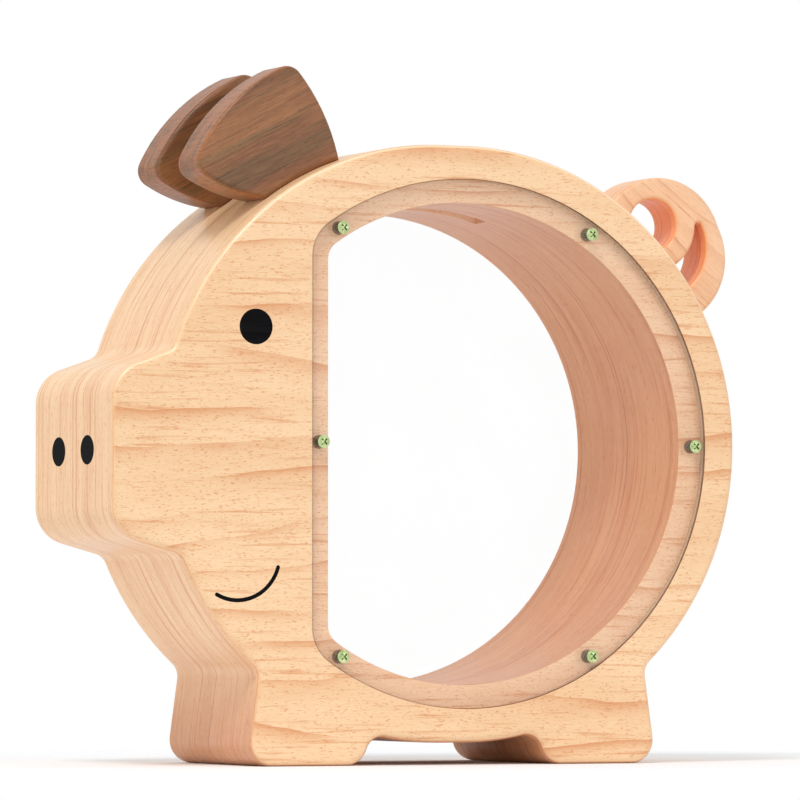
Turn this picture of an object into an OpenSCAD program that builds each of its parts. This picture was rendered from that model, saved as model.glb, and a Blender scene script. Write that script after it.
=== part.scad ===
// Pig-shaped wooden money box. Two boards are glued face to face into one thick
// pig outline with a D-shaped coin chamber, closed on each side by a screwed
// clear window. X runs from the snout to the tail, Z is up, and the glue plane
// between the boards is Y = 0. The object stands on Z = 0.

/* [Body] */
// Thickness of one of the two glued boards
board_t = 32.5; // [26:0.5:40]
// Radius of the pig's round belly
belly_r = 88; // [86:0.5:90]
// How far the head's round outline sits in front of the belly's
head_shift = 9; // [4:0.5:12]
// Height of the chamber's centre above the ground
centre_h = 94.5; // [92:0.5:97]
// Reach of the snout from the chamber's centre
snout_reach = 112; // [108:0.5:116]

/* [Chamber] */
// Radius of the coin chamber
chamber_r = 71; // [68:0.5:72]
// Distance from the chamber's centre to its flat front wall
chamber_front = 43.4; // [40:0.2:45]
// How far the round wall leans towards the snout from the front face to the rear
chamber_lean = 6.2; // [0:0.1:6.4]
// Radius of the recess that holds a window
recess_r = 78; // [76.5:0.5:79]
// Distance from the chamber's centre to the recess's flat front edge
recess_front = 49.7; // [48:0.1:52]
// Depth of the window recess
recess_d = 3; // [2:0.5:4]

/* [Coin slot] */
// Length of the coin slot along X
slot_l = 38; // [30:1:44]
// Width of the coin slot across Y
slot_w = 8; // [5:0.5:10]

/* [Windows and screws] */
// Thickness of a window
window_t = 3; // [2:0.5:4]
// Gap between a window's edge and its recess
window_gap = 0.2; // [0.1:0.05:0.4]
// Diameter of a screw's head
screw_head_d = 3.8; // [3.4:0.1:4.4]
// Height of a screw's head
screw_head_h = 1.4; // [1.2:0.1:2]
// Diameter of a screw's shank
screw_d = 1.9; // [1.6:0.1:2.2]
// Length of a screw under its head
screw_l = 10; // [8:1:14]

/* [Ears and tail] */
// Thickness of the ears and the tail
plate_t = 16; // [12:0.5:20]
// Diameter of the dowels that hold an ear
ear_dowel_d = 6; // [5:0.5:7]
// Diameter of the dowels that hold the tail
tail_dowel_d = 4; // [3:0.5:4]
// Length of a dowel on each side of its glue face
dowel_reach = 8; // [6:0.5:9]

/* [Face] */
// Radius of an eye
eye_r = 5.2; // [4:0.1:6]
// Depth of the black inlays
inlay_t = 1.2; // [0.8:0.1:2]
// Width of the smile's line
smile_w = 1.2; // [1:0.1:1.6]

/* [Hidden] */

body_t = 2 * board_t;
far = 300;                         // longer than the whole object
over = 1;                          // how far a cut runs past the surface it opens
fit = 0.05;                        // radial clearance of a screw in its pilot hole
curve_fn = 144;                    // segments of the large round outlines
corner_fn = 48;                    // segments of the small round corners

// Snout: rises to the head above and falls to the jaw below
snout_top = 19.6;
snout_bottom = -27;
snout_top_slope = 19.5;
snout_bottom_slope = -15.6;
snout_corner_r = 11;
snout_root = 60;                   // where its slopes end inside the head
snout_depth = 20;                  // how much further its outline reaches in

// Feet: inner side, outer side at the ground, and how much they flare
front_foot_x = [-70.2, -31.6];
back_foot_x = [23.7, 62.2];
foot_flare = 4.8;
foot_lean = 0.4;                   // the inner sides widen upwards by this much
foot_root = 60;                    // where their outline ends inside the body
foot_corner_r = 7;
hollow_corner_r = 5;               // inside corners of the outline
slot_corner_r = 0.8;

// Corners of the D at its flat side
chamber_corner_r = 6;
recess_corner_r = 12;

// Screws: five on the recess's arc and one at the middle of its flat edge
ledge_r = (chamber_r + recess_r) / 2;
ledge_front = (chamber_front + recess_front) / 2;
screw_angle = 57.3;
screw_places = concat(
    [for (a = [180 - screw_angle, screw_angle, 0, -screw_angle, screw_angle - 180])
        ledge_r * [cos(a), sin(a)]],
    [[-ledge_front, 0]]
);
window_hole_d = screw_d + 0.7;
pilot_depth = screw_l - window_t + over;
head_dome_r = 2 * screw_head_d / 2;
cross_w = 0.55;                    // width of the cross recess in a head
cross_d = 0.9;                     // depth of the cross recess in a head
cross_share = 0.6;                 // its reach, as a share of the head's radius
screw_neck = 0.2;                  // how far the shank runs up into the head
screw_tip = 1.6;                   // length of the pointed end

// Ears: a leaf of three arcs, one ear on the middle of each board
ear_top = [-52.6, 111.4];
ear_tip = [-83.9, 79.9];
ear_heel = [-36.2, 74.6];          // hidden inside the rim, which cuts the ear off
ear_back_bulge = 3.5;
ear_crown_bulge = 4.6;
ear_sole_bulge = 6.3;
ear_corner_r = 5;
ear_dowel_angles = [112.5, 120.5]; // on the head's rim, about its centre

// Tail: a curl with two openings
tail_r = 20.8;
tail_upper = [75.5, 61.5];
tail_lower = [77, 58];
tail_eye = [73, 68];
tail_eye_r = 7.7;
tail_tongue_r = 14.4;              // outside of the ring about the eye
tail_crescent_r = 15.4;            // outside of the gap about that ring
tail_corner_r = 1;
tail_dowel_angles = [28.4, 49.2];
tail_reach = tail_lower[0] + tail_r;

// Face
eye_at = [-67.6, 33.2];
smile_at = [-73.4, -33];
smile_r = 13.3;
smile_from = -119;
smile_to = -16;
smile_steps = 20;
nostril_half_h = 4.3;
nostril_half_w = 5.4;
nostril_z = -2.6;
nostril_y = 11.6;

// Whole object: the origin is under the middle of its length
shift_x = (snout_reach - tail_reach) / 2;

function on_arc(p, q, bulge, steps) =
    // points on the arc from p to q that bulges to the left of the way from p to q
    let (
        chord = norm(q - p),
        r = (chord * chord / 4 + bulge * bulge) / (2 * bulge),
        along = (q - p) / chord,
        left = [-along[1], along[0]],
        c = (p + q) / 2 + left * (bulge - r),
        half = asin(chord / 2 / r)
    )
    [for (i = [0 : steps - 1])
        let (a = -half + 2 * half * i / steps)
        c + r * (along * sin(a) + left * cos(a))];

// ---------------------------------------------------------------- outlines

module round_corners(r) {
    offset(r = r, $fn = corner_fn) offset(delta = -r) children();
}

module fill_corners(r) {
    offset(r = -r, $fn = corner_fn) offset(delta = r) children();
}

module rim_outline() {
    translate([-head_shift, 0]) circle(r = belly_r, $fn = curve_fn);
    circle(r = belly_r, $fn = curve_fn);
    translate([-head_shift, -belly_r]) square([head_shift, 2 * belly_r]);
}

module snout_outline() {
    rise = (snout_reach - snout_root) * tan(snout_top_slope);
    drop = (snout_reach - snout_root) * tan(snout_bottom_slope);
    round_corners(snout_corner_r) polygon([
        [-snout_reach, snout_top], [-snout_reach, snout_bottom],
        [-snout_root, snout_bottom + drop], [snout_depth - snout_root, snout_bottom + drop],
        [snout_depth - snout_root, snout_top + rise], [-snout_root, snout_top + rise]
    ]);
}

module foot_outline(x, flare_left, flare_right) {
    round_corners(foot_corner_r) polygon([
        [x[0], -centre_h], [x[1], -centre_h],
        [x[1] - flare_right, -foot_root], [x[0] + flare_left, -foot_root]
    ]);
}

module pig_outline() {
    fill_corners(hollow_corner_r) {
        rim_outline();
        snout_outline();
        foot_outline(front_foot_x, foot_flare, -foot_lean);
        foot_outline(back_foot_x, -foot_lean, foot_flare);
    }
}

// A D: a disc cut by a straight edge at x = -front, with its two corners rounded
module d_outline(r, front, corner) {
    c = [-front + corner, sqrt(pow(r - corner, 2) - pow(corner - front, 2))];
    touch = c * r / norm(c);
    clear = r - touch[1];
    difference() {
        circle(r = r, $fn = curve_fn);
        translate([-far - front, -far / 2]) square([far, far]);
        for (s = [-1, 1])
            polygon([
                [c[0], s * c[1]], [-front - over, s * c[1]],
                [-front - over, s * (touch[1] + clear)], [touch[0], s * (touch[1] + clear)],
                [touch[0], s * touch[1]]
            ]);
    }
    for (s = [-1, 1]) translate([c[0], s * c[1]]) circle(r = corner, $fn = corner_fn);
}

module ear_outline() {
    round_corners(ear_corner_r) polygon(concat(
        on_arc(ear_heel, ear_tip, ear_sole_bulge, 24),
        on_arc(ear_tip, ear_top, ear_crown_bulge, 16),
        on_arc(ear_top, ear_heel, ear_back_bulge, 12)
    ));
}

module tail_outline() {
    difference() {
        union() {
            translate(tail_upper) circle(r = tail_r, $fn = 96);
            translate(tail_lower) circle(r = tail_r, $fn = 96);
        }
        translate(tail_eye) circle(r = tail_eye_r, $fn = 64);
        round_corners(tail_corner_r) difference() {
            translate(tail_upper) circle(r = tail_crescent_r, $fn = 96);
            translate(tail_eye) circle(r = tail_tongue_r, $fn = 96);
        }
    }
}

// ------------------------------------------------------------------ solids

// Lays an outline drawn in X and Y upright, in X and Z, centred on Y = 0
module upright(t) {
    rotate([90, 0, 0]) translate([0, 0, -t / 2]) linear_extrude(t) children();
}

// Moves a piece drawn about the chamber's centre to its place above the ground
module place() {
    translate([shift_x, 0, centre_h]) children();
}

// side is -1 for the front, which faces -Y, and 1 for the rear
module on_face(side) {
    translate([0, side * body_t / 2, 0]) rotate([side < 0 ? 90 : -90, 0, 0])
        mirror([0, side < 0 ? 0 : 1, 0]) children();
}

// A dowel's place on a rim that is round about c, pointing out along the radius
module on_rim(c, angle, y) {
    translate([c[0] + belly_r * cos(angle), y, c[1] + belly_r * sin(angle)])
        rotate([0, 90 - angle, 0]) children();
}

module dowel(d) {
    cylinder(d = d, h = 2 * dowel_reach, center = true, $fn = 48);
}

module ear_dowels(side) {
    for (a = ear_dowel_angles)
        on_rim([-head_shift, 0], a, side * board_t / 2) dowel(ear_dowel_d);
}

module tail_dowels() {
    for (a = tail_dowel_angles) on_rim([0, 0], a, 0) dowel(tail_dowel_d);
}

module slot() {
    translate([0, 0, chamber_r - slot_w]) linear_extrude(belly_r - chamber_r + 2 * slot_w)
        round_corners(slot_corner_r) square([slot_l, slot_w], center = true);
}

// The coin chamber: a D on the front face, whose arc is further forward on the rear
module chamber() {
    hull() {
        translate([0, -body_t / 2 - over, 0]) upright(over)
            d_outline(chamber_r, chamber_front, chamber_corner_r);
        translate([-chamber_lean, body_t / 2 + over, 0]) upright(over)
            d_outline(chamber_r, chamber_front - chamber_lean, chamber_corner_r);
    }
}

module nostril(side) {
    translate([-snout_reach, side * nostril_y, nostril_z]) rotate([0, 90, 0])
        scale([nostril_half_h, nostril_half_w, 1]) cylinder(r = 1, h = inlay_t, $fn = 64);
}

module eye(side) {
    on_face(side) translate([eye_at[0], eye_at[1], -inlay_t])
        cylinder(r = eye_r, h = inlay_t, $fn = 64);
}

// A curved line with round ends: an arc of hardly any width, widened all round
module smile_outline() {
    hair = 0.02;
    step = (smile_to - smile_from) / smile_steps;
    there = [for (i = [0 : smile_steps]) smile_from + i * step];
    offset(r = smile_w / 2 - hair, $fn = 16) polygon(concat(
        [for (a = there) (smile_r + hair) * [cos(a), sin(a)]],
        [for (i = [smile_steps : -1 : 0]) (smile_r - hair) * [cos(there[i]), sin(there[i])]]
    ));
}

module smile(side) {
    on_face(side) translate([smile_at[0], smile_at[1], -inlay_t])
        linear_extrude(inlay_t) smile_outline();
}

// One glued board: half of the pig's outline, with everything that is cut in it
module board(side) {
    color("burlywood") place() difference() {
        intersection() {
            upright(body_t) pig_outline();
            translate([-far / 2, side < 0 ? -far : 0, -far / 2]) cube([far, far, far]);
        }
        chamber();
        on_face(side) translate([0, 0, -recess_d]) linear_extrude(recess_d + over)
            d_outline(recess_r, recess_front, recess_corner_r);
        slot();
        for (p = screw_places)
            on_face(side) translate([p[0], p[1], -recess_d - pilot_depth])
                cylinder(d = screw_d + 2 * fit, h = pilot_depth + over, $fn = 32);
        ear_dowels(side);
        tail_dowels();
        eye(side);
        smile(side);
        nostril(side);
    }
}

module ear(side) {
    color("saddlebrown") place() difference() {
        translate([0, side * board_t / 2, 0]) upright(plate_t) ear_outline();
        translate([-head_shift, 0, 0]) rotate([90, 0, 0])
            cylinder(r = belly_r, h = far, center = true, $fn = curve_fn);
        ear_dowels(side);
    }
}

module ear_pins(side) {
    color("tan") place() ear_dowels(side);
}

module curl() {
    color("wheat") place() difference() {
        upright(plate_t) tail_outline();
        rotate([90, 0, 0]) cylinder(r = belly_r, h = far, center = true, $fn = curve_fn);
        tail_dowels();
    }
}

module window(side) {
    color("lightcyan", 0.35) place() on_face(side) difference() {
        translate([0, 0, -recess_d]) linear_extrude(window_t)
            d_outline(recess_r - window_gap, recess_front - window_gap,
                recess_corner_r - window_gap);
        for (p = screw_places)
            translate([p[0], p[1], -recess_d - over])
                cylinder(d = window_hole_d, h = window_t + 2 * over, $fn = 32);
    }
}

// A pan-head screw with its head's underside on the window's outer face
module screw(side, i) {
    p = screw_places[i];
    r = screw_head_d / 2;
    color("gold") place() on_face(side) translate([p[0], p[1], window_t - recess_d]) {
        difference() {
            rotate_extrude($fn = 48) intersection() {
                translate([0, screw_head_h - head_dome_r]) circle(r = head_dome_r, $fn = 96);
                square([r, screw_head_h]);
            }
            for (a = [45, 135]) rotate([0, 0, a])
                translate([-r * cross_share, -cross_w / 2, screw_head_h - cross_d])
                    cube([2 * r * cross_share, cross_w, cross_d + over]);
        }
        rotate_extrude($fn = 48) polygon([
            [0, screw_neck], [screw_d / 2, screw_neck],
            [screw_d / 2, screw_tip - screw_l], [0, -screw_l]
        ]);
    }
}

board(-1);  // front_board
board(1);  // rear_board
ear(-1);  // front_ear
ear(1);  // rear_ear
ear_pins(-1);  // front_ear_dowels
ear_pins(1);  // rear_ear_dowels
curl();  // tail
color("tan") place() tail_dowels();
window(-1);  // front_window
window(1);  // rear_window
screw(-1, 0);  // front_screw_1
screw(-1, 1);  // front_screw_2
screw(-1, 2);  // front_screw_3
screw(-1, 3);  // front_screw_4
screw(-1, 4);  // front_screw_5
screw(-1, 5);  // front_screw_6
screw(1, 0);  // rear_screw_1
screw(1, 1);  // rear_screw_2
screw(1, 2);  // rear_screw_3
screw(1, 3);  // rear_screw_4
screw(1, 4);  // rear_screw_5
screw(1, 5);  // rear_screw_6
color("black") place() eye(-1);  // front_eye
color("black") place() eye(1);  // rear_eye
color("black") place() smile(-1);  // front_smile
color("black") place() smile(1);  // rear_smile
color("black") place() nostril(-1);  // front_nostril
color("black") place() nostril(1);  // rear_nostril
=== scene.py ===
"""Looks of the pig-shaped wooden money box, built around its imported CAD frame."""
import math

import bmesh
import bpy
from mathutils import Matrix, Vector


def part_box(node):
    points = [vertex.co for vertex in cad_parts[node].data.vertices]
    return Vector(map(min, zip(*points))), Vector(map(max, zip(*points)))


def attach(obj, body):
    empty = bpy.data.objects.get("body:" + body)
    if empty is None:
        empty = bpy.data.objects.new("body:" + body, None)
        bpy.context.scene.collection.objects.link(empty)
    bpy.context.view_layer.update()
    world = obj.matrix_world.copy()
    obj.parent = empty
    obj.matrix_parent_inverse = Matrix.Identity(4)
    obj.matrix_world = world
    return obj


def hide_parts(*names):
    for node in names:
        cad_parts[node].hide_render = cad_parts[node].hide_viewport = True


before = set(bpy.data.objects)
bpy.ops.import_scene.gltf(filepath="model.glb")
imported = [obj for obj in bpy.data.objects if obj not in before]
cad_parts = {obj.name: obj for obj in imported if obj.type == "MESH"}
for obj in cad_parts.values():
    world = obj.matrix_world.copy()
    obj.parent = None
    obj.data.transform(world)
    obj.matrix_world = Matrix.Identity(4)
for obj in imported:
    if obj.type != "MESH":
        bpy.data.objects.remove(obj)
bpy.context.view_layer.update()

MM = 0.001
SIDES = ("front", "rear")
SCREWS_PER_SIDE = 6

# ------------------------------------------------------------------ camera

CAMERA_AZIMUTH = -23.9          # degrees, from the front towards the snout
CAMERA_ELEVATION = -2.1         # degrees, just below the aim's height
CAMERA_DISTANCE = 1.857         # metres from the aim
CAMERA_LENS = 285.0             # millimetres
CAMERA_SENSOR = 36.0            # millimetres across
CAMERA_CLIP = (0.05, 50.0)      # metres, the nearest and farthest that it sees
AIM_FROM_CENTRE = -14.8 * MM    # along X
AIM_HEIGHT = 107.0 * MM


def direction(azimuth, elevation):
    """The way from the object to a viewer at these angles."""
    a, e = math.radians(azimuth), math.radians(elevation)
    return Vector((math.sin(a) * math.cos(e), -math.cos(a) * math.cos(e), math.sin(e)))


def link(obj):
    bpy.context.scene.collection.objects.link(obj)
    return obj


def look(obj, back):
    """Turns a camera or light to look against the direction back."""
    obj.rotation_mode = "QUATERNION"
    obj.rotation_quaternion = (-back).to_track_quat("-Z", "Y")


def make_camera():
    camera = link(bpy.data.objects.new("camera", bpy.data.cameras.new("camera")))
    camera.data.lens = CAMERA_LENS
    camera.data.sensor_width = CAMERA_SENSOR
    camera.data.clip_start, camera.data.clip_end = CAMERA_CLIP
    aim = Vector((AIM_FROM_CENTRE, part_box("front_board")[0].y, AIM_HEIGHT))
    back = direction(CAMERA_AZIMUTH, CAMERA_ELEVATION)
    camera.location = aim + back * CAMERA_DISTANCE
    look(camera, back)
    bpy.context.scene.camera = camera


# ------------------------------------------------------------ shader nodes

MIX_SHARE, MIX_A, MIX_B = 0, 6, 7   # a Mix node's input sockets for colours
MIX_RESULT = 2                      # and its output socket for them


class Shader:
    """A material under construction. Most methods return an output socket."""

    def __init__(self, name):
        self.material = bpy.data.materials.new(name)
        self.material.use_nodes = True
        self.tree = self.material.node_tree
        self.tree.nodes.clear()

    def put(self, value, socket):
        """Sets an input socket: another node's output is linked, a value is stored."""
        if isinstance(value, bpy.types.NodeSocket):
            self.tree.links.new(value, socket)
        else:
            socket.default_value = value

    def node(self, kind, inputs=(), **settings):
        """Adds a node and returns it."""
        made = self.tree.nodes.new(kind)
        for key, value in settings.items():
            setattr(made, key, value)
        for key, value in dict(inputs).items():
            self.put(value, made.inputs[key])
        return made

    def math(self, operation, a, b=0.0, clamp=False):
        made = self.node("ShaderNodeMath", {0: a, 1: b}, operation=operation, use_clamp=clamp)
        return made.outputs[0]

    def times(self, value, factor):
        return self.math("MULTIPLY", value, factor)

    def all_of(self, *values):
        """The sum of several numbers."""
        total = values[0]
        for value in values[1:]:
            total = self.math("ADD", total, value)
        return total

    def rest_of(self, share):
        """What a share leaves of 1."""
        return self.math("SUBTRACT", 1.0, share)

    def spread(self, value, low, high, to_low=0.0, to_high=1.0):
        """Maps low..high smoothly to to_low..to_high."""
        inputs = {"Value": value, "From Min": low, "From Max": high,
                  "To Min": to_low, "To Max": to_high}
        made = self.node("ShaderNodeMapRange", inputs, interpolation_type="SMOOTHSTEP")
        return made.outputs["Result"]

    def blend(self, share, a, b):
        """The number a where share is 0, b where it is 1."""
        inputs = {"Factor": share, "A": a, "B": b}
        return self.node("ShaderNodeMix", inputs, data_type="FLOAT").outputs["Result"]

    def scaled(self, where, factors):
        """A vector times another, axis by axis."""
        inputs = {0: where, 1: factors}
        return self.node("ShaderNodeVectorMath", inputs, operation="MULTIPLY").outputs[0]

    def length(self, vector):
        made = self.node("ShaderNodeVectorMath", {0: vector}, operation="LENGTH")
        return made.outputs["Value"]

    def parts(self, vector):
        """A vector's X, Y and Z outputs, by name."""
        return self.node("ShaderNodeSeparateXYZ", {"Vector": vector}).outputs

    def normal(self):
        """The surface's normal in the piece's own frame."""
        return self.node("ShaderNodeTexCoord").outputs["Normal"]

    def millimetres(self):
        """The point on the surface in the piece's own frame, in millimetres."""
        where = self.node("ShaderNodeTexCoord").outputs["Object"]
        return self.scaled(where, (1 / MM, 1 / MM, 1 / MM))

    def turned(self, where, degrees):
        """Turns the point about Y, so that its X runs along a grain that rises that much."""
        inputs = {"Vector": where, "Angle": math.radians(degrees)}
        return self.node("ShaderNodeVectorRotate", inputs, rotation_type="Y_AXIS").outputs[0]

    def noise(self, where, scale, detail=2.0, roughness=0.5):
        """Noise with its own number of features per millimetre along each axis."""
        inputs = {"Vector": self.scaled(where, scale), "Scale": 1.0,
                  "Detail": detail, "Roughness": roughness}
        return self.node("ShaderNodeTexNoise", inputs).outputs["Fac"]

    def colours(self, share, a, b, mode="MIX"):
        """The colour a where share is 0. Where it is 1, b, or a changed by b as mode says."""
        made = self.node("ShaderNodeMix", data_type="RGBA", blend_type=mode)
        self.put(share, made.inputs[MIX_SHARE])
        self.put(a, made.inputs[MIX_A])
        self.put(b, made.inputs[MIX_B])
        return made.outputs[MIX_RESULT]

    def product(self, colour, factor):
        """The colour times three factors."""
        return self.colours(1.0, colour, (*factor, 1.0), "MULTIPLY")

    def tint(self, share, colour, factor):
        """The colour times three factors, as far as share goes."""
        return self.colours(share, colour, self.product(colour, factor))

    def ramp(self, value, stops):
        made = self.node("ShaderNodeValToRGB", {"Fac": value})
        elements = made.color_ramp.elements
        while len(elements) < len(stops):
            elements.new(0.5)
        for element, (place, colour) in zip(elements, stops):
            element.position = place
            element.color = (*colour, 1.0)
        return made.outputs["Color"]

    def bump(self, height, strength, distance):
        inputs = {"Height": height, "Strength": strength, "Distance": distance}
        return self.node("ShaderNodeBump", inputs).outputs["Normal"]

    def surface(self, **inputs):
        """Ends the material with a Principled shader and returns the material."""
        named = {key.replace("_", " "): value for key, value in inputs.items()}
        shader = self.node("ShaderNodeBsdfPrincipled", named).outputs["BSDF"]
        self.node("ShaderNodeOutputMaterial", {"Surface": shader})
        return self.material


def distance(s, xyz, x, z):
    """The distance in X and Z from a point, in millimetres."""
    off = s.node("ShaderNodeCombineXYZ", {"X": s.math("SUBTRACT", xyz["X"], x),
                                          "Z": s.math("SUBTRACT", xyz["Z"], z)}).outputs[0]
    return s.length(off)


# -------------------------------------------------------------------- wood

FACE_FROM, FACE_FULL = 0.45, 0.9    # the normal's Y, where an edge turns into a flat face

# How dense each kind of mark is, in features per millimetre along X, Y (the thickness)
# and Z. On the faces X runs along the grain. On the edge strips the marks run round the
# outline, so X and Z are alike. Where a mark is made in spread, the first two numbers
# after its noise are where it starts and where it is full.
SWAYS = (                           # with the noise's detail and the sway in millimetres
    ((0.007, 0.01, 0.020), 1.0, 40.0),
    ((0.03, 0.05, 0.09), 2.0, 4.0),
    ((0.16, 0.1, 0.6), 2.0, 0.5),
)
LINE_FADES = (0.014, 0.03, 0.06)
FACE_WISPS = (0.035, 0.6, 0.85)
EDGE_LINES, EDGE_HAIRS = (0.011, 0.62, 0.011), (0.03, 1.7, 0.03)
EDGE_BANDS, FACE_BANDS = (0.012, 0.14, 0.012), (0.010, 0.05, 0.07)
EDGE_FIBRES, FACE_FIBRES = (0.12, 2.4, 0.12), (0.16, 2.4, 2.4)
EDGE_DASHES, FACE_DASHES = (0.45, 3.4, 0.45), (0.80, 3.4, 3.4)

LINE_SHARPNESS = 5.0                # how late in its pitch a line darkens
LINE_SHARE = 0.75                   # how dark wisps and edge lines get beside it
HAIR_SHARE = 0.6
DASH_SHARE = 0.8
BAND_SHARE, FIBRE_SHARE = 0.55, 0.45
PORE_STRENGTH, PORE_DEPTH = 0.25, 0.05 * MM


def facing_y(s):
    """1 on the flat faces, which look along Y, and 0 on the edges all round."""
    return s.spread(s.math("ABSOLUTE", s.parts(s.normal())["Y"]), FACE_FROM, FACE_FULL)


def growth_lines(s, across, pitch, sharpness):
    """Late-wood lines: 0 between them, rising to 1 at each line's dark side."""
    return s.math("POWER", s.math("FRACT", s.math("DIVIDE", across, pitch)), sharpness)


def wood(name, light, dark, line_tint, slope=0.0, pitch=11.0, lines=1.0, streaks=1.0,
         dashes=1.0, edge_tone_and_light=(1.0, 1.0, 1.0), roughness=0.42, extra=None):
    """Sanded and oiled wood: long figure on the faces, lines that follow the edges round.

    The grain rises by slope degrees along the face. The lines and dashes take the wood's
    colour times line_tint. The edge strips take it times edge_tone_and_light, their own
    tone and, for the ears, painted light. extra(s, p, face, colour) may change the colour
    further."""
    s = Shader(name)
    p = s.millimetres()
    g = s.turned(p, slope)
    z = s.parts(g)["Z"]
    face = facing_y(s)

    # long lines on the face, with a sharp lower side, that sway and fade in and out
    across = s.all_of(z, *(s.times(s.noise(g, density, detail), sway)
                           for density, detail, sway in SWAYS))
    faded = s.spread(s.noise(g, LINE_FADES, 2.0), 0.42, 0.60)
    face_line = s.times(growth_lines(s, across, pitch, LINE_SHARPNESS), faded)
    wisp = s.spread(s.noise(g, FACE_WISPS, 3.0, 0.6), 0.55, 0.72, 0.0, LINE_SHARE)

    # fine lines that run along the edge strips, at their own places in the thickness
    edge_line = s.spread(s.noise(p, EDGE_LINES, 2.0, 0.7), 0.53, 0.70, 0.0, LINE_SHARE)
    hair = s.spread(s.noise(p, EDGE_HAIRS, 2.0, 0.6), 0.55, 0.70, 0.0, HAIR_SHARE)
    line = s.blend(face, s.math("MAXIMUM", edge_line, hair),
                   s.math("MAXIMUM", face_line, wisp))

    # broad bands, fibres and short dashes
    band = s.blend(face, s.noise(p, EDGE_BANDS, 3.0, 0.55), s.noise(g, FACE_BANDS, 3.0, 0.6))
    fibre = s.blend(face, s.noise(p, EDGE_FIBRES, 3.0, 0.65),
                    s.noise(g, FACE_FIBRES, 3.0, 0.65))
    dash = s.blend(face, s.noise(p, EDGE_DASHES, 1.0, 0.5), s.noise(g, FACE_DASHES, 1.0, 0.5))
    dash = s.spread(dash, 0.60, 0.72, 0.0, DASH_SHARE)
    tone = s.math("ADD", s.times(s.spread(band, 0.34, 0.70), BAND_SHARE * streaks),
                  s.times(s.spread(fibre, 0.32, 0.70), FIBRE_SHARE * streaks), clamp=True)
    colour = s.ramp(tone, ((0.0, light), (1.0, dark)))
    marked = s.math("ADD", s.times(line, lines), s.times(dash, dashes), clamp=True)
    colour = s.tint(marked, colour, line_tint)
    # the edge strips' own tone, and for the ears painted light
    colour = s.colours(face, s.product(colour, edge_tone_and_light), colour)
    if extra:
        colour = extra(s, p, face, colour)

    gloss = s.spread(fibre, 0.2, 0.8, roughness - 0.05, roughness + 0.1)
    return s.surface(Base_Color=colour, Roughness=gloss, Specular_IOR_Level=0.35,
                     Coat_Weight=0.3, Coat_Roughness=0.22,
                     Normal=s.bump(s.times(fibre, -1.0), PORE_STRENGTH, PORE_DEPTH))


# Where the boards' colour changes, in millimetres
SEAM_CORE, SEAM_HALF = 0.05, 0.35   # each side of the glue plane: fully dark, and no longer
INNER_R = 76.0                      # the edges within this are the chamber's wall
INNER_FADE = 2.0
GROOVE_R = 82.0                     # and within this are those of the window's recess
GROOVE_FADE = 1.0
GROOVE_DEPTH = 1.3                  # below the face
LEDGE_DEPTH = 3.0
HOLE_R, HOLE_FADE = 2.15, 0.25      # the painted shade round a screw, over its pilot hole
FEET_FULL, FEET_TOP = 4.0, 42.0     # above the ground

# What the boards' colour is multiplied by there: the glue line's own colour, and painted shade
# and light
SEAM_TINT, SEAM_SHARE = (0.62, 0.42, 0.32), 0.8
WALL_SHADE_TINT = (0.80, 0.62, 0.51)
FEET_SHADE_TINT = (0.76, 0.58, 0.52)
GROOVE_SHADE_TINT = (0.32, 0.22, 0.17)
UPPER_LIGHT_TINT = (1.0, 1.05, 1.08)      # painted light on the edges that look up
LEDGE_SHADE_TINT = (0.96, 0.93, 1.0)
HOLE_SHADE_TINT, HOLE_SHADE_SHARE = (0.16, 0.10, 0.07), 0.75
ARRIS_HIGHLIGHT, ARRIS_HIGHLIGHT_SHARE = (1.0, 0.86, 0.60), 0.6     # painted highlight on the rounded upper edges


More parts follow.
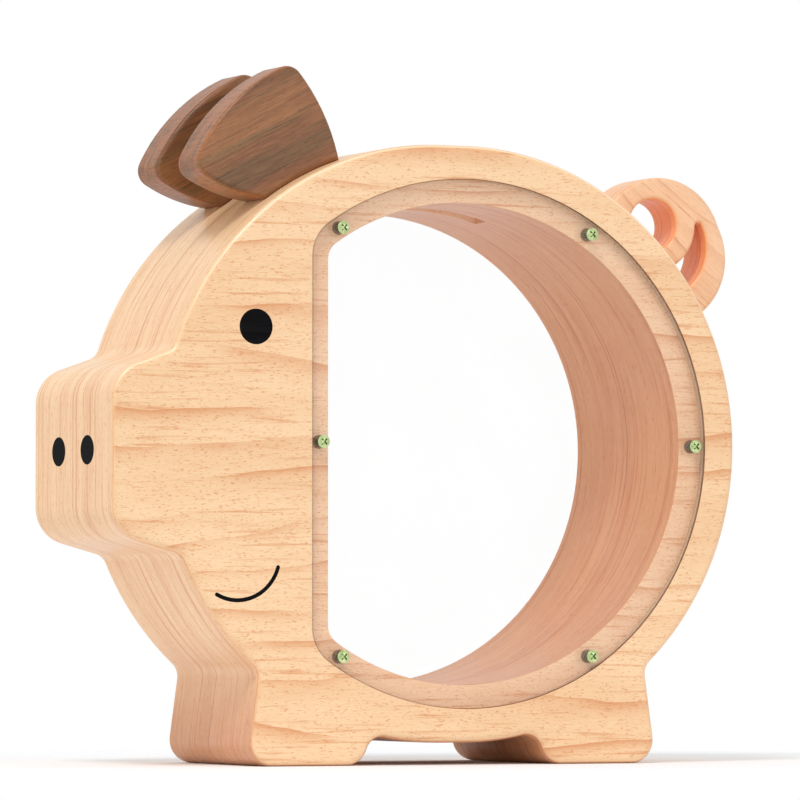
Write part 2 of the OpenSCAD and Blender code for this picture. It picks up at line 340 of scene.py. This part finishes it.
def board_tones(s, p, face, colour):
    """The glue line, and painted shade and light: a darker chamber wall, edges darker towards
    the ground, a dark line round the window, lighter upper edges with a highlight on their
    rounding, and a darker ledge with dark discs under the screws.
    """
    xyz = s.parts(p)
    deep = s.math("SUBTRACT", -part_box("front_board")[0].y / MM, s.math("ABSOLUTE", xyz["Y"]))
    edge = s.rest_of(face)
    seam = s.spread(s.math("ABSOLUTE", xyz["Y"]), SEAM_CORE, SEAM_HALF, SEAM_SHARE, 0.0)
    colour = s.tint(s.times(seam, edge), colour, SEAM_TINT)

    # painted shade: the chamber's round wall, about the window's round side, darker and warmer
    # as if shaded and lit by light bounced inside
    low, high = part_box("front_window")
    x, z = (high.x - (high.z - low.z) / 2) / MM, (low.z + high.z) / 2 / MM
    radius = distance(s, xyz, x, z)
    wall_shade = s.times(s.spread(radius, INNER_R, INNER_R + INNER_FADE, 1.0, 0.0), edge)
    colour = s.tint(wall_shade, colour, WALL_SHADE_TINT)
    # painted shade: the edges outside the chamber darken towards the ground
    foot_shade = s.times(s.spread(xyz["Z"], FEET_FULL, FEET_TOP, 1.0, 0.0),
                   s.times(edge, s.rest_of(wall_shade)))
    colour = s.tint(foot_shade, colour, FEET_SHADE_TINT)

    # painted shade: a dark line round the window, on the upper part of its recess's edge,
    # where the gap by the sheet lies in shadow
    inside = s.spread(radius, GROOVE_R - GROOVE_FADE, GROOVE_R, 1.0, 0.0)
    groove_shade = s.times(s.spread(deep, GROOVE_DEPTH - 0.4, GROOVE_DEPTH, 1.0, 0.0),
                     s.times(inside, s.spread(face, 0.6, 1.0, 1.0, 0.0)))
    colour = s.tint(groove_shade, colour, GROOVE_SHADE_TINT)

    # the outer edges that look up are painted lighter, and their rounding, where face and edge
    # are both part, gets a painted highlight
    up = s.parts(s.normal())["Z"]
    outside = s.rest_of(inside)
    upper = s.times(s.spread(up, 0.1, 0.6), s.times(edge, outside))
    colour = s.tint(upper, colour, UPPER_LIGHT_TINT)
    arris_highlight = s.times(s.times(face, edge), 4.0)
    arris_highlight = s.times(arris_highlight, s.times(s.spread(up, 0.05, 0.5), outside))
    colour = s.colours(s.times(arris_highlight, ARRIS_HIGHLIGHT_SHARE), colour, (*ARRIS_HIGHLIGHT, 1.0))

    # painted shade: the ledge under the window a little darker and pinker, as in the sheet's
    # shade, and a dark disc round each screw for the shadow in its pilot hole
    ledge = s.times(s.spread(deep, LEDGE_DEPTH - 0.5, LEDGE_DEPTH - 0.2), face)
    colour = s.tint(ledge, colour, LEDGE_SHADE_TINT)
    for i in range(1, SCREWS_PER_SIDE + 1):
        low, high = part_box(f"front_screw_{i}")
        away = distance(s, xyz, (low.x + high.x) / 2 / MM, (low.z + high.z) / 2 / MM)
        hole_shade = s.times(s.spread(away, HOLE_R - HOLE_FADE, HOLE_R, HOLE_SHADE_SHARE, 0.0), ledge)
        colour = s.tint(hole_shade, colour, HOLE_SHADE_TINT)
    return colour


TAIL_RING = (82.6, 156.0)           # millimetres, X and Z of the tail's outer ring
TAIL_INSIDE_R = 18.0
TAIL_INSIDE_TINT = (1.05, 0.80, 0.62)
TAIL_GRAIN = -38.0                  # degrees that the grain rises towards the tail
EAR_GRAIN = 27.0


def tail_tones(s, p, face, colour):
    """A warmer wall in the tail's two openings."""
    xyz = s.parts(p)
    inside = s.spread(distance(s, xyz, *TAIL_RING), TAIL_INSIDE_R - 1, TAIL_INSIDE_R, 1.0, 0.0)
    wall = s.spread(face, 0.0, 0.35, 1.0, 0.15)
    return s.tint(s.times(inside, wall), colour, TAIL_INSIDE_TINT)


def walnut_tones(s, p, face, colour):
    """Grey-green streaks between the warm ones, and short cross lines on the edges."""
    g = s.turned(p, EAR_GRAIN)
    streak = s.spread(s.noise(g, (0.012, 0.1, 0.20), 3.0, 0.65), 0.46, 0.60)
    colour = s.tint(s.times(streak, 0.75), colour, (0.68, 0.90, 0.95))
    vein = s.spread(s.noise(g, (0.02, 0.3, 0.9), 2.0, 0.6), 0.56, 0.68, 0.0, 0.7)
    colour = s.tint(s.times(vein, face), colour, (0.62, 0.60, 0.60))
    cross = s.spread(s.noise(p, (1.5, 0.12, 1.5), 2.0, 0.6), 0.48, 0.64, 0.0, 0.7)
    return s.tint(s.times(cross, s.rest_of(face)), colour, (0.62, 0.56, 0.52))


# Light and dark wood, and what its lines multiply them by
PINE = ((0.945, 0.665, 0.405), (0.850, 0.525, 0.280), (0.79, 0.52, 0.37))
TAIL_PINE = ((0.930, 0.600, 0.370), (0.830, 0.460, 0.250), (0.72, 0.52, 0.42))
WALNUT = ((0.355, 0.145, 0.052), (0.180, 0.066, 0.022), (0.50, 0.46, 0.44))
DOWEL_WOOD = ((0.860, 0.600, 0.360), (0.700, 0.420, 0.220), (0.70, 0.55, 0.45))

# --------------------------------------------------------- other materials

FILM_LEAST, FILM_MOST = 0.008, 0.02     # how much of the clear sheet covers what is behind
# painted reflection: a white film that grows at a slant
SHEEN_FILM_AT_SLANT = 0.4
FILM_ON_RIM = 0.28
RIM_TINT = (0.42, 0.48, 0.47)
ACRYLIC_IOR = 1.49

ZINC = ((0.30, (0.42, 0.56, 0.22)), (0.55, (0.62, 0.74, 0.36)), (0.75, (0.80, 0.86, 0.58)))
ZINC_SIDE_SHADE = (0.20, 0.26, 0.16)     # painted shade on the shank, the head's side and the walls of its cross

FLOOR_SOLID = 0.13                      # metres from the middle: a full floor up to here
FLOOR_END = 0.30                        # and none from here


def clear_acrylic():
    """A clear sheet: a thin film over what lies behind, with real gloss, a faint haze
    everywhere and at a slant more white, painted as the sheet's reflection.
    """
    s = Shader("clear_acrylic")
    cloud = s.noise(s.millimetres(), (0.03, 0.03, 0.03), 3.0)
    flat = s.node("ShaderNodeNewGeometry").outputs["True Normal"]
    slant = s.node("ShaderNodeLayerWeight", {"Normal": flat}).outputs["Facing"]
    slant = s.math("POWER", slant, 5.0)
    rim = s.spread(s.math("ABSOLUTE", s.parts(flat)["Y"]), 0.2, 0.6, 1.0, 0.0)
    film = s.all_of(s.spread(cloud, 0.3, 0.7, FILM_LEAST, FILM_MOST),
                    s.times(slant, SHEEN_FILM_AT_SLANT), s.times(rim, FILM_ON_RIM))
    colour = s.ramp(cloud, ((0.3, (0.96, 0.98, 0.98)), (0.7, (1.0, 1.0, 1.0))))
    colour = s.tint(rim, colour, RIM_TINT)
    return s.surface(Base_Color=colour, Roughness=s.spread(cloud, 0.3, 0.7, 0.04, 0.08),
                     IOR=ACRYLIC_IOR, Alpha=film, Normal=flat)


def zinc():
    """Yellow-green passivated zinc, a little cloudy, with fine turning marks, and painted
    shade on the sides that don't look along Y.
    """
    s = Shader("zinc")
    p = s.millimetres()
    cloud = s.noise(p, (0.9, 0.9, 0.9), 3.0)
    colour = s.ramp(cloud, ZINC)
    marks = s.noise(p, (6.0, 0.6, 6.0), 2.0)
    # painted shade on every side that doesn't look along Y
    colour = s.tint(s.rest_of(facing_y(s)), colour, ZINC_SIDE_SHADE)
    return s.surface(Base_Color=colour, Metallic=1.0,
                     Roughness=s.spread(cloud, 0.2, 0.8, 0.22, 0.42),
                     Normal=s.bump(marks, 0.15, 0.02 * MM))


def black_inlay():
    """Matt black with the faintest grain of the wood under it."""
    s = Shader("black_inlay")
    grain = s.noise(s.millimetres(), (0.08, 1.4, 1.4), 4.0, 0.6)
    colour = s.ramp(grain, ((0.3, (0.004, 0.004, 0.005)), (0.8, (0.010, 0.0095, 0.010))))
    return s.surface(Base_Color=colour, Roughness=s.spread(grain, 0.2, 0.8, 0.45, 0.6),
                     Specular_IOR_Level=0.02, Normal=s.bump(grain, 0.2, 0.03 * MM))


def floor_paint():
    """White floor that thins out to nothing away from the object."""
    s = Shader("floor")
    p = s.millimetres()
    speck = s.noise(p, (0.01, 0.01, 0.01), 2.0)
    colour = s.ramp(speck, ((0.3, (0.93, 0.955, 0.975)), (0.7, (0.945, 0.965, 0.985))))
    away = s.length(p)
    paint = s.node("ShaderNodeBsdfDiffuse", {"Color": colour}).outputs["BSDF"]
    nothing = s.node("ShaderNodeBsdfTransparent").outputs["BSDF"]
    mix = s.node("ShaderNodeMixShader", {
        0: s.spread(away, FLOOR_SOLID / MM, FLOOR_END / MM), 1: paint, 2: nothing})
    s.node("ShaderNodeOutputMaterial", {"Surface": mix.outputs[0]})
    return s.material


def make_materials():
    return {
        "pine": wood("pine", *PINE, edge_tone_and_light=(1.06, 1.02, 0.99), extra=board_tones),
        "tail_pine": wood("tail_pine", *TAIL_PINE, slope=TAIL_GRAIN, pitch=4.5, lines=1.2,
                          dashes=0.4, edge_tone_and_light=(1.05, 1.02, 0.96), extra=tail_tones),
        # painted light: the ears' edges much lighter, as if lit from the left
        "walnut": wood("walnut", *WALNUT, slope=EAR_GRAIN, pitch=8.0, lines=0.8,
                       streaks=1.1, dashes=0.5, edge_tone_and_light=(1.30, 1.18, 1.08),
                       roughness=0.5, extra=walnut_tones),
        "dowel_wood": wood("dowel_wood", *DOWEL_WOOD, pitch=2.5),
        "clear_acrylic": clear_acrylic(),
        "zinc": zinc(),
        "black_inlay": black_inlay(),
        "floor": floor_paint(),
    }


# ---------------------------------------------------------- rounded pieces

NEAR = 0.1 * MM                     # a point closer than this to a plane lies on it
WELD = 0.002 * MM                   # points closer than this are one
FLAT_ANGLE = math.radians(0.4)      # faces that meet at less are joined into one
SMOOTH_ANGLE = math.radians(35)     # edges that turn by less are shaded smooth
SHARP_ANGLE = math.radians(55)      # edges that turn by more can be rounded

# Radius and number of steps of each rounding
BOARD_ROUND = (2.0 * MM, 6)
BOARD_EASE = (0.4 * MM, 2)
PLATE_ROUND = (1.3 * MM, 4)
EASED_SPAN = 60 * MM                # smaller outlines, of the slot and holes, stay sharp


def outline_loops(bm, on_loop):
    """The connected chains of the sharp edges that pass the test, as lists of edges."""
    sharp = {e for e in bm.edges if len(e.link_faces) == 2
             and e.calc_face_angle() > SHARP_ANGLE and on_loop(e)}
    loops = []
    while sharp:
        chain, todo = [], [sharp.pop()]
        while todo:
            edge = todo.pop()
            chain.append(edge)
            for vert in edge.verts:
                for other in vert.link_edges:
                    if other in sharp:
                        sharp.remove(other)
                        todo.append(other)
        loops.append(chain)
    return loops


def span(chain):
    """The longest side of a chain's box."""
    places = [v.co for e in chain for v in e.verts]
    return max(max(c) - min(c) for c in zip(*places))


def round_off(bm, chain, radius, segments):
    bmesh.ops.bevel(bm, geom=chain, offset=radius, offset_type="OFFSET", segments=segments,
                    profile=0.5, affect="EDGES", clamp_overlap=False)


def round_board(bm):
    """The outline gets the full rounding, the window recess and the chamber a light easing."""
    outer_y = max(abs(v.co.y) for v in bm.verts)

    def off_glue_plane(edge):
        return all(abs(v.co.y) > NEAR for v in edge.verts)

    def on_outer_face(edge):
        return all(abs(abs(v.co.y) - outer_y) < NEAR for v in edge.verts)

    loops = sorted(outline_loops(bm, on_outer_face), key=span)
    round_off(bm, loops[-1], *BOARD_ROUND)
    eased = [loop for loop in outline_loops(bm, off_glue_plane) if span(loop) > EASED_SPAN]
    for loop in eased:
        round_off(bm, loop, *BOARD_EASE)


def round_plate(bm):
    """Rounds the outline of an ear or the tail, and of its openings, on both faces."""
    low = min(v.co.y for v in bm.verts)
    high = max(v.co.y for v in bm.verts)

    def on_a_face(edge):
        return any(all(abs(v.co.y - y) < NEAR for v in edge.verts) for y in (low, high))

    chains = [edge for loop in outline_loops(bm, on_a_face) for edge in loop]
    round_off(bm, chains, *PLATE_ROUND)


def soft_copy(node, name, body, material, rounding):
    """A piece that stands for a CAD node, with its sharp edges rounded by rounding(bm)."""
    mesh = bpy.data.meshes.new(name)
    bm = bmesh.new()
    bm.from_mesh(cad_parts[node].data)
    bmesh.ops.remove_doubles(bm, verts=bm.verts, dist=WELD)
    bmesh.ops.dissolve_limit(bm, angle_limit=FLAT_ANGLE, verts=bm.verts, edges=bm.edges)
    rounding(bm)
    flats = [f for f in bm.faces if len(f.verts) > 4]
    bmesh.ops.triangulate(bm, faces=flats, ngon_method="EAR_CLIP")
    bm.normal_update()
    for face in bm.faces:
        face.smooth = True
    for edge in bm.edges:
        glued = [all(abs(v.co.y) < NEAR for v in f.verts) for f in edge.link_faces]
        turn = edge.calc_face_angle(0.0)
        edge.smooth = turn < SMOOTH_ANGLE and len(set(glued)) == 1
    bm.to_mesh(mesh)
    bm.free()
    piece = link(bpy.data.objects.new(name, mesh))
    mesh.materials.append(material)
    even = piece.modifiers.new("even_normals", "WEIGHTED_NORMAL")
    even.keep_sharp = True
    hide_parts(node)
    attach(piece, body)


def make_wood(materials):
    for side in SIDES:
        soft_copy(f"{side}_board", f"{side}_board_wood", "root", materials["pine"],
                  round_board)
        soft_copy(f"{side}_ear", f"{side}_ear_wood", "root", materials["walnut"],
                  round_plate)
    soft_copy("tail", "tail_wood", "root", materials["tail_pine"], round_plate)


# ----------------------------------------------------------- carried nodes

WINDOW_GAP = 0.03 * MM


def paint(node, material):
    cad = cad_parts[node]
    cad.data.materials.clear()
    cad.data.materials.append(material)
    return cad


def keep_clear(obj, gap):
    """Draws the surface in a hair, so that it doesn't coincide with the ledge it rests on."""
    shrink = obj.modifiers.new("keep_clear", "DISPLACE")
    shrink.mid_level = 0.0
    shrink.strength = -gap


def paint_nodes(materials):
    for side in SIDES:
        window = paint(f"{side}_window", materials["clear_acrylic"])
        keep_clear(window, WINDOW_GAP)
        for i in range(1, SCREWS_PER_SIDE + 1):
            paint(f"{side}_screw_{i}", materials["zinc"])
        for part in ("eye", "smile", "nostril"):
            paint(f"{side}_{part}", materials["black_inlay"])
        paint(f"{side}_ear_dowels", materials["dowel_wood"])
    paint("tail_dowels", materials["dowel_wood"])


# ------------------------------------------------------------------ studio

AMBIENT = 0.84                      # white light from all round
BACKDROP = 1.0                      # how bright the surroundings look to the camera
LIGHTS = (                          # name, place and size in metres, power in watts
    ("key", (-0.77, -0.81, 1.75), 0.55, 12.0),
    ("fill", (0.9, -1.7, 0.5), 1.2, 3.0),
)
LIGHT_AIM = (0, 0, 0.1)


def make_world():
    """White surroundings, a little darker as a light than as the camera sees them."""
    world = bpy.data.worlds.new("studio")
    bpy.context.scene.world = world
    world.use_nodes = True
    tree = world.node_tree
    tree.nodes.clear()
    ray = tree.nodes.new("ShaderNodeLightPath")
    strength = tree.nodes.new("ShaderNodeMix")
    strength.inputs["A"].default_value = AMBIENT
    strength.inputs["B"].default_value = BACKDROP
    tree.links.new(ray.outputs["Is Camera Ray"], strength.inputs["Factor"])
    background = tree.nodes.new("ShaderNodeBackground")
    background.inputs["Color"].default_value = (1, 1, 1, 1)
    tree.links.new(strength.outputs["Result"], background.inputs["Strength"])
    output = tree.nodes.new("ShaderNodeOutputWorld")
    tree.links.new(background.outputs[0], output.inputs["Surface"])


def area_light(name, place, size, power):
    data = bpy.data.lights.new(name, "AREA")
    data.shape = "DISK"
    data.size = size
    data.energy = power
    lamp = link(bpy.data.objects.new(name, data))
    lamp.location = place
    look(lamp, Vector(place) - Vector(LIGHT_AIM))


def make_studio(materials):
    view = bpy.context.scene.view_settings
    view.view_transform = "Standard"
    view.look = "None"
    make_world()
    for light in LIGHTS:
        area_light(*light)

    mesh = bpy.data.meshes.new("floor")
    h = FLOOR_END
    mesh.from_pydata([(-h, -h, 0), (h, -h, 0), (h, h, 0), (-h, h, 0)], [], [(0, 1, 2, 3)])
    floor = link(bpy.data.objects.new("floor", mesh))
    mesh.materials.append(materials["floor"])


make_camera()
MATERIALS = make_materials()
make_wood(MATERIALS)
paint_nodes(MATERIALS)
make_studio(MATERIALS)
